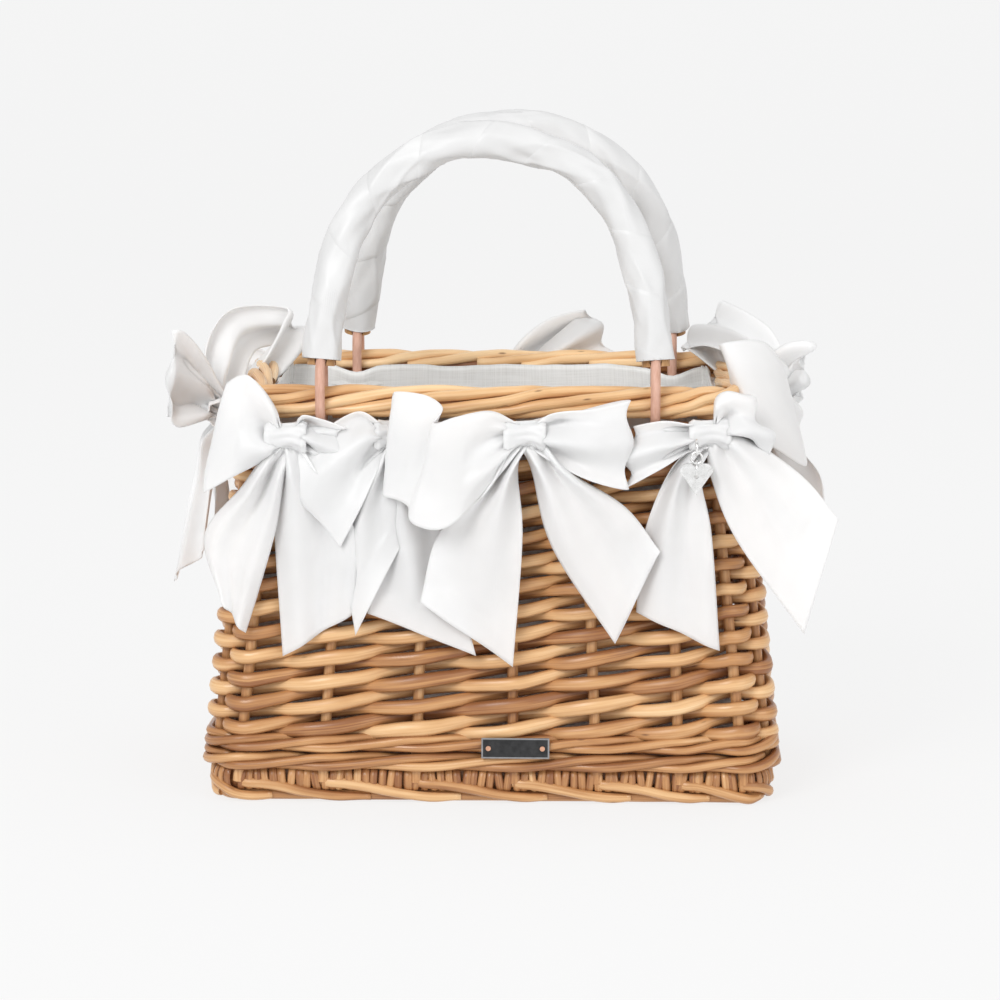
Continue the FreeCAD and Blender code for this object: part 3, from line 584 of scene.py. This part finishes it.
# Knot (along the wall, height, off the wall), loops (upper edge, lower edge, how far the front
# stands off, gap to the back layer) and tails (first edge, second edge, how far the end stands off).
BOWS = {
    "front_bow_left": (
        "front", (-87.5, 163, 9),
        [([(-93, 178), (-103, 190), (-113, 186)], [(-97, 152), (-109, 147), (-122, 139)], 15, (0, 0, -11)),
         ([(-80, 173), (-72, 171), (-63, 167)], [(-80, 157), (-75, 153), (-68, 149)], 9, (0, 0, -6))],
        [([(-106, 142), (-123, 120), (-116, 92)], [(-88, 148), (-92, 124), (-99, 99), (-106, 77)], 7),
         ([(-92, 146), (-93, 120), (-90, 66)], [(-72, 146), (-58, 122), (-59, 86)], 3)],
    ),
    "front_bow_middle_left": (
        "front", (-41, 163, 0),
        [([(-56, 173), (-74, 164), (-89, 151)], [(-50, 148), (-56, 132), (-64, 116)], 13, (0, 0, -9)),
         ([(-36, 170), (-28, 170), (-20, 168)], [(-36, 157), (-28, 154), (-20, 150)], 3, (0, 0, -3))],
        [([(-52, 147), (-64, 118), (-58, 77)], [(-40, 150), (-38, 140), (-34, 125)], 7),
         ([(-50, 142), (-52, 112), (-53, 86)], [(-30, 142), (-18, 112), (-6, 68)], 5)],
    ),
    "front_bow_middle": (
        "front", (15, 165, 12),
        [([(0, 176, 16), (-14, 174, 20), (-23, 171, 19), (-20, 177, 15), (-28, 182, 13), (-42, 182, 11)],
           [(0, 143, 17), (-18, 127, 22), (-32, 128, 20), (-34, 134, 15), (-39, 137, 13), (-45, 138, 11)],
           0, (0, 0, -5),
           ((-30, 173, 6), (-18, 166, 5))),
         ([(28, 175), (44, 177), (59, 180)], [(28, 153), (44, 146), (58, 142)], 19, (0, 0, -11))],
        [([(-2, 142), (-22, 122), (-30, 92)], [(12, 150), (14, 120), (10, 64)], 9),
         ([(18, 148), (27, 116), (54, 75)], [(34, 150), (58, 134), (73, 115)], 11)],
    ),
    "front_bow_right": (
        "front", (94, 165, 8),
        [([(84, 170), (74, 171), (61, 168)], [(84, 157), (72, 150), (59, 142)], 12, (0, 0, -9)),
         ([(96, 180), (101, 184), (109, 181)], [(106, 164), (114, 161), (122, 156)], 13, (0, 0, -9))],
        [([(76, 146), (66, 120), (63, 87)], [(90, 150), (95, 122), (99, 71)], 5),
         ([(95, 146), (106, 120), (135, 80)], [(112, 162), (134, 147), (149, 130)], 13)],
    ),
    "left_bow": (
        "left", (0, 163, 10),
        [([(-6, 187, 20), (-18, 205, 12), (-30, 206, -8)], [(-14, 172, 5), (-34, 186, 0), (-46, 188, -20)],
          0, (0, -3, -5)),
         ([(6, 182, 20), (14, 196, 29), (20, 202, 34)], [(8, 160, 18), (16, 158, 28), (22, 163, 34)],
          0, (-4, 0, -5))],
        [([(2, 145, 16), (5, 120, 22), (-5, 83, 27)], [(12, 142, 9), (18, 122, 8), (18, 103, 9)], 0),
         ([(-6, 148, 14), (-26, 128, 10), (-44, 88, 7)], [(6, 140, 8), (-2, 118, 6), (-12, 96, 5)], 0)],
    ),
    "right_bow": (
        "right", (0, 163, 10),
        [([(8, 186, 2), (22, 192, -14), (34, 189, -30)], [(12, 176, 18), (30, 194, 14), (44, 206, -6)],
          0, (4, -3, 5)),
         ([(-10, 183, 17), (-30, 199, 9), (-44, 201, -2)], [(-14, 150, 22), (-38, 146, 22), (-52, 158, 11)],
          0, (3, 0, -10)),
         ([(6, 184, 10), (2, 194, 20), (-4, 196, 32)], [(8, 164, 14), (2, 166, 20), (-6, 171, 26)],
          0, (9, -1, -4))],
        [([(-8, 148, 18), (-20, 138, 28), (-20, 122, 30)], [(4, 142, 10), (4, 118, 10), (-4, 92, 8)], 0),
         ([(4, 146, 12), (24, 122, 8), (40, 84, 6)], [(10, 150, 8), (36, 138, 6), (62, 112, 4)], 0)],
    ),
    "back_bow_left": (
        "back", (-92, 163, 9),
        [([(-82, 170), (-72, 169), (-60, 168)], [(-82, 152), (-71, 143), (-59, 132)], 11, (0, 0, -8)),
         ([(-98, 174), (-106, 178), (-116, 178)], [(-98, 156), (-106, 150), (-116, 146)], 12, (0, 0, -8))],
        [([(-84, 140), (-84, 110), (-86, 76)], [(-70, 150), (-50, 130), (-45, 92)], 6),
         ([(-106, 148), (-126, 122), (-130, 92)], [(-94, 146), (-94, 116), (-106, 72)], 4)],
    ),
    "back_bow_middle": (
        "back", (-5, 163, 11),
        [([(-7, 182), (-22, 195), (-43, 202)], [(-16, 165), (-36, 168), (-54, 177)], 14, (4, -3, -8)),
         ([(6, 172), (22, 175), (38, 176)], [(6, 152), (22, 140), (38, 134)], 17, (0, 0, -11))],
        [([(4, 146), (10, 112), (8, 68)], [(18, 152), (42, 132), (50, 96)], 7),
         ([(-20, 148), (-40, 124), (-44, 92)], [(-6, 146), (-10, 112), (-16, 66)], 9)],
    ),
    "back_bow_right": (
        "back", (104, 163, 8),
        [([(108, 176), (114, 181), (122, 180)], [(110, 156), (118, 150), (126, 142)], 11, (0, 0, -8)),
         ([(92, 173), (80, 175), (68, 170)], [(92, 156), (80, 150), (66, 138)], 13, (0, 0, -9))],
        [([(112, 148), (128, 122), (134, 94)], [(104, 142), (104, 112), (100, 72)], 4),
         ([(102, 146), (98, 116), (92, 80)], [(88, 148), (68, 124), (62, 98)], 6)],
    ),
}


def build_bows():
    """Every bow's name, object and length of ribbon."""
    made = []
    for name, (side, knot, loops, tails) in BOWS.items():
        strips = [tail_strip(knot, *tail) for tail in tails] + [loop_strip(knot, *loop) for loop in loops]
        length = sum(np.linalg.norm(np.diff(strip.mean(1), axis=0), axis=1).sum() for strip in strips)
        grids = [on_wall(side, strip) for strip in strips + [knot_band(knot)]]
        bow = grid_mesh(name + "_ribbon", grids)
        thicken = bow.modifiers.new("thickness", "SOLIDIFY")
        thicken.thickness = 0.0005
        thicken.offset = 0
        made.append((name, bow, length + WAIST_TURN))
    return made


# ---------------------------------------------------------------- materials

def new_material(name, **sockets):
    """A material with its shader's plain values set on the shader itself."""
    material = bpy.data.materials.new(name)
    material.use_nodes = True
    shader = material.node_tree.nodes["Principled BSDF"]
    for socket, value in sockets.items():
        shader.inputs[socket.replace("_", " ")].default_value = value
    return material, material.node_tree, shader


def add_node(tree, kind, inputs=None, **settings):
    """A node with its settings, and its inputs given as values or as other nodes' outputs."""
    node = tree.nodes.new(kind)
    for key, value in settings.items():
        setattr(node, key, value)
    for key, value in (inputs or {}).items():
        if isinstance(value, bpy.types.NodeSocket):
            tree.links.new(value, node.inputs[key])
        else:
            node.inputs[key].default_value = value
    return node


def color_ramp(tree, factor, stops):
    ramp = add_node(tree, "ShaderNodeValToRGB", {"Fac": factor})
    for index, (place, color) in enumerate(stops):
        point = ramp.color_ramp.elements[index] if index < 2 else ramp.color_ramp.elements.new(place)
        point.position = place
        point.color = (*color, 1)
    return ramp.outputs["Color"]


def math_node(tree, operation, first, second):
    return add_node(tree, "ShaderNodeMath", {0: first, 1: second}, operation=operation).outputs[0]


def bump(tree, shader, height, strength, distance):
    node = add_node(tree, "ShaderNodeBump", {"Height": height, "Strength": strength, "Distance": distance})
    tree.links.new(node.outputs["Normal"], shader.inputs["Normal"])


def stretched(tree, vector, scale):
    return add_node(tree, "ShaderNodeMapping", {"Vector": vector, "Scale": scale}).outputs["Vector"]


def noise(tree, vector, scale=1.0, detail=2.0):
    inputs = {"Vector": vector, "Scale": scale, "Detail": detail}
    return add_node(tree, "ShaderNodeTexNoise", inputs).outputs["Fac"]


def weighted(tree, first, first_share, second, second_share):
    """The sum of two values, each times its share."""
    return math_node(tree, "ADD", math_node(tree, "MULTIPLY", first, first_share),
                     math_node(tree, "MULTIPLY", second, second_share))


def willow_material(name, along, tone):
    """Buff willow: long fibres, darker flecks and knots, and a tone for each rod, which also carries the
    rods' painted shade.
    """
    material, tree, shader = new_material(name, Roughness=0.42)
    if along == "uv":
        coordinates = add_node(tree, "ShaderNodeTexCoord").outputs["UV"]
        fibre_scale, patch_scale, knot_scale = (14, 900, 1), (22, 60, 1), (42, 160, 1)
    else:
        coordinates = add_node(tree, "ShaderNodeTexCoord").outputs["Object"]
        fibre_scale, patch_scale, knot_scale = (900, 900, 14), (60, 60, 22), (160, 160, 42)
    fibres = noise(tree, stretched(tree, coordinates, fibre_scale), detail=4.0)
    patches = noise(tree, stretched(tree, coordinates, patch_scale), detail=3.0)
    knots = add_node(tree, "ShaderNodeTexVoronoi", {"Vector": stretched(tree, coordinates, knot_scale),
                                                    "Scale": 1.0}).outputs["Distance"]
    if tone:
        # The tone attribute holds each rod's own tone plus its painted shade (sides facing the basket,
        # weavers behind stakes).
        own = add_node(tree, "ShaderNodeAttribute", attribute_name="tone").outputs["Fac"]
    else:
        own = 0.45
    mix = weighted(tree, own, 0.42, patches, 0.70)
    mix = math_node(tree, "ADD", mix, math_node(tree, "MULTIPLY", fibres, 0.52))
    color = color_ramp(tree, mix, (
        (0.36, (0.93, 0.66, 0.38)), (0.58, (0.78, 0.48, 0.235)), (0.80, (0.55, 0.275, 0.11)),
        (1.00, (0.30, 0.12, 0.045))))
    spots = color_ramp(tree, knots, ((0.03, (0.8, 0.8, 0.8)), (0.10, (0, 0, 0))))
    dark = add_node(tree, "ShaderNodeMix", {"Factor": spots, 6: color, 7: (0.16, 0.07, 0.03, 1)},
                    data_type="RGBA")
    tree.links.new(dark.outputs[2], shader.inputs["Base Color"])
    gloss = color_ramp(tree, fibres, ((0.3, (0.22, 0.22, 0.22)), (0.7, (0.42, 0.42, 0.42))))
    tree.links.new(gloss, shader.inputs["Roughness"])
    bump(tree, shader, fibres, 0.4, 0.0004)
    return material


def satin_material(name, shade, through):
    """White satin ribbon: fine weave, broad soft sheen."""
    material, tree, shader = new_material(name, Roughness=0.4, Specular_IOR_Level=0.4,
                                          Subsurface_Weight=through, Subsurface_Scale=0.004,
                                          Subsurface_Radius=(1, 1, 1))
    coordinates = add_node(tree, "ShaderNodeTexCoord").outputs["UV"]
    threads = noise(tree, stretched(tree, coordinates, (250, 2500, 1)))
    cloud = noise(tree, coordinates, scale=45.0)
    color = color_ramp(tree, cloud, ((0.3, (shade,) * 3), (0.7, (shade + 0.05,) * 3)))
    tree.links.new(color, shader.inputs["Base Color"])
    height = math_node(tree, "ADD", math_node(tree, "MULTIPLY", threads, 0.25), cloud)
    bump(tree, shader, height, 0.25, 0.0006)
    return material


def linen_material(name):
    """Off-white linen: crossed threads of uneven thickness."""
    material, tree, shader = new_material(name, Roughness=0.9, Sheen_Weight=0.1)
    coordinates = add_node(tree, "ShaderNodeTexCoord").outputs["UV"]
    weft = noise(tree, stretched(tree, coordinates, (40, 1400, 1)), detail=3.0)
    warp = noise(tree, stretched(tree, coordinates, (1400, 40, 1)), detail=3.0)
    threads = weighted(tree, weft, 0.5, warp, 0.5)
    color = color_ramp(tree, threads, (
        (0.3, (0.78, 0.77, 0.745)), (0.5, (0.88, 0.875, 0.86)), (0.7, (0.93, 0.925, 0.91))))
    tree.links.new(color, shader.inputs["Base Color"])
    bump(tree, shader, threads, 0.4, 0.0004)
    return material


def cane_material(name, light, dark):
    """Split cane, dyed or bare, with lengthwise fibres."""
    material, tree, shader = new_material(name, Roughness=0.5)
    coordinates = add_node(tree, "ShaderNodeTexCoord").outputs["Object"]
    fibres = noise(tree, stretched(tree, coordinates, (1500, 260, 260)), detail=4.0)
    patches = noise(tree, coordinates, scale=120.0)
    mix = weighted(tree, fibres, 0.6, patches, 0.4)
    tree.links.new(color_ramp(tree, mix, ((0.35, light), (0.65, dark))), shader.inputs["Base Color"])
    bump(tree, shader, fibres, 0.3, 0.0003)
    return material


def metal_material(name, color, roughness, metallic=1.0):
    """Polished metal or enamel with fine rubbed scratches."""
    material, tree, shader = new_material(name, Metallic=metallic)
    coordinates = add_node(tree, "ShaderNodeTexCoord").outputs["Object"]
    scratches = noise(tree, stretched(tree, coordinates, (300, 3000, 3000)), detail=5.0)
    patches = noise(tree, coordinates, scale=350.0, detail=3.0)
    worn = tuple(min(1.0, c * 1.25 + 0.02) for c in color)
    tree.links.new(color_ramp(tree, patches, ((0.35, color), (0.75, worn))), shader.inputs["Base Color"])
    gloss = color_ramp(tree, scratches, ((0.35, (roughness,) * 3), (0.7, (roughness + 0.18,) * 3)))
    tree.links.new(gloss, shader.inputs["Roughness"])
    bump(tree, shader, patches, 0.15, 0.0002)
    return material


WILLOW = willow_material("willow_rods", "uv", True)
STICKS = willow_material("willow_sticks", "object", False)
SATIN = satin_material("satin_ribbon", 0.87, 0.4)
# The handle wraps use the bows' satin made darker (0.68 against 0.87): painted shade, since it is the same
# ribbon.
SHADED_WRAP_SATIN = satin_material("wound_satin", 0.68, 0.0)
LINEN = linen_material("linen")
RING_CANE = cane_material("ring_cane", (0.72, 0.44, 0.34), (0.58, 0.32, 0.23))
HANDLE_CANE = cane_material("handle_cane", (0.62, 0.36, 0.16), (0.42, 0.21, 0.08))
SILVER = metal_material("silver", (0.80, 0.80, 0.79), 0.16)
STEEL = metal_material("steel", (0.32, 0.32, 0.33), 0.3)
ENAMEL = metal_material("black_enamel", (0.006, 0.006, 0.007), 0.4, metallic=0.0)
COPPER = metal_material("copper", (0.72, 0.40, 0.27), 0.25)


def dress(made, material):
    made.data.materials.clear()
    made.data.materials.append(material)


# ---------------------------------------------------------------- build and attach

NODE_MATERIALS = {
    STICKS: ("front_stakes", "back_stakes", "left_stakes", "right_stakes", "base_sticks"),
    RING_CANE: RING_NAMES,
    HANDLE_CANE: ("front_handle_core", "back_handle_core"),
    SILVER: ("charm_ring", "charm_chain", "heart_charm"),
    STEEL: ("label_plate",),
    ENAMEL: ("label_face",),
    COPPER: ("label_rivets",),
}
for node_material, names in NODE_MATERIALS.items():
    for node_name in names:
        dress(frame["nodes"][node_name], node_material)

for woven, replaced in (
    (weave_wall(), ("wall_weave",)),
    (weave_wale("lower_wale_rods", 18.9), ("lower_wale",)),
    (weave_wale("upper_wale_rods", 27.0), ("upper_wale",)),
    (weave_foot(), ("foot_border",)),
    (weave_base(), ("base_weave",)),
    (weave_rim(), ("rim_border",)),
):
    dress(woven, WILLOW)
    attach(woven, "basket")
    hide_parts(*replaced)

lining = make_lining()
dress(lining, LINEN)
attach(lining, "basket")
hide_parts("lining")

joint_places = {joint["name"]: np.array(joint["pos_m"]) * 1000 for joint in frame["joints"]}
for side, lean, handed in (("front", -10.0, 1), ("back", 10.0, -1)):
    core_low, core_high = cad_span(side + "_handle_core")
    pivot = joint_places[side + "_handle_swing"]
    pivot[0] = (core_low[0] + core_high[0]) / 2
    wrap, width, length = wrap_handle(side + "_handle_satin", pivot, lean, handed)
    dress(wrap, SHADED_WRAP_SATIN)
    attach(wrap, side + "_handle")
    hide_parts(side + "_handle_wrap")

for bow_name, bow, length in build_bows():
    dress(bow, SATIN)
    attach(bow, "basket")
    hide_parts(bow_name)


# ---------------------------------------------------------------- stage

def build_backdrop():
    """A pale floor that curves up into a wall."""
    bend = np.linspace(0.05, math.pi / 2, 20)
    flat_y, bend_start, bend_radius, wall_top = np.linspace(-2600, 2100, 30), 2100, 500, 2600
    y = np.concatenate([flat_y, bend_start + bend_radius * np.sin(bend), [bend_start + bend_radius]])
    z = np.concatenate([np.zeros(30), bend_radius - bend_radius * np.cos(bend), [wall_top]])
    y, x = np.meshgrid(y, np.linspace(-3500, 3500, 30), indexing="ij")
    z = np.broadcast_to(z[:, None], x.shape)
    floor = grid_mesh("floor", [np.stack([x, y, z], -1)])
    pale = (0.15, 0.15, 0.15, 1)
    material = new_material("backdrop", Roughness=0.3, Specular_IOR_Level=0.0, Base_Color=pale,
                            Emission_Color=(1, 1, 1, 1), Emission_Strength=0.785)[0]
    dress(floor, material)


LIGHTS = (  # name, place in metres, watts, size in metres
    ("key", (-0.8, -1.6, 1.3), 21, 0.9),
    ("fill", (1.3, -1.2, 0.7), 7, 1.2),
    ("top", (0.1, 0.2, 1.8), 4, 1.4),
)


def build_lights():
    """A white world and three soft area lights aimed at the basket."""
    world = bpy.data.worlds.new("studio")
    world.use_nodes = True
    background = world.node_tree.nodes["Background"]
    background.inputs["Color"].default_value = (1, 1, 1, 1)
    background.inputs["Strength"].default_value = 0.6
    bpy.context.scene.world = world
    for name, place, power, size in LIGHTS:
        light = bpy.data.lights.new(name, "AREA")
        light.energy, light.size = power, size
        made = bpy.data.objects.new(name, light)
        made.location = place
        aim = Vector((0, 0, 0.12)) - Vector(place)
        made.rotation_euler = aim.to_track_quat("-Z", "Y").to_euler()
        bpy.context.scene.collection.objects.link(made)


def build_camera():
    azimuth, elevation, distance = math.radians(1.74), math.radians(11.01), 1.6
    back = Vector((math.sin(azimuth) * math.cos(elevation), -math.cos(azimuth) * math.cos(elevation),
                   math.sin(elevation)))
    camera = bpy.data.objects.new("camera", bpy.data.cameras.new("camera"))
    camera.data.lens = 128.4
    camera.location = Vector((0.0022, 0, 0.1228)) + back * distance
    camera.rotation_euler = (-back).to_track_quat("-Z", "Y").to_euler()
    bpy.context.scene.collection.objects.link(camera)
    bpy.context.scene.camera = camera


build_backdrop()
build_lights()
build_camera()
bpy.context.scene.view_settings.view_transform = "Standard"
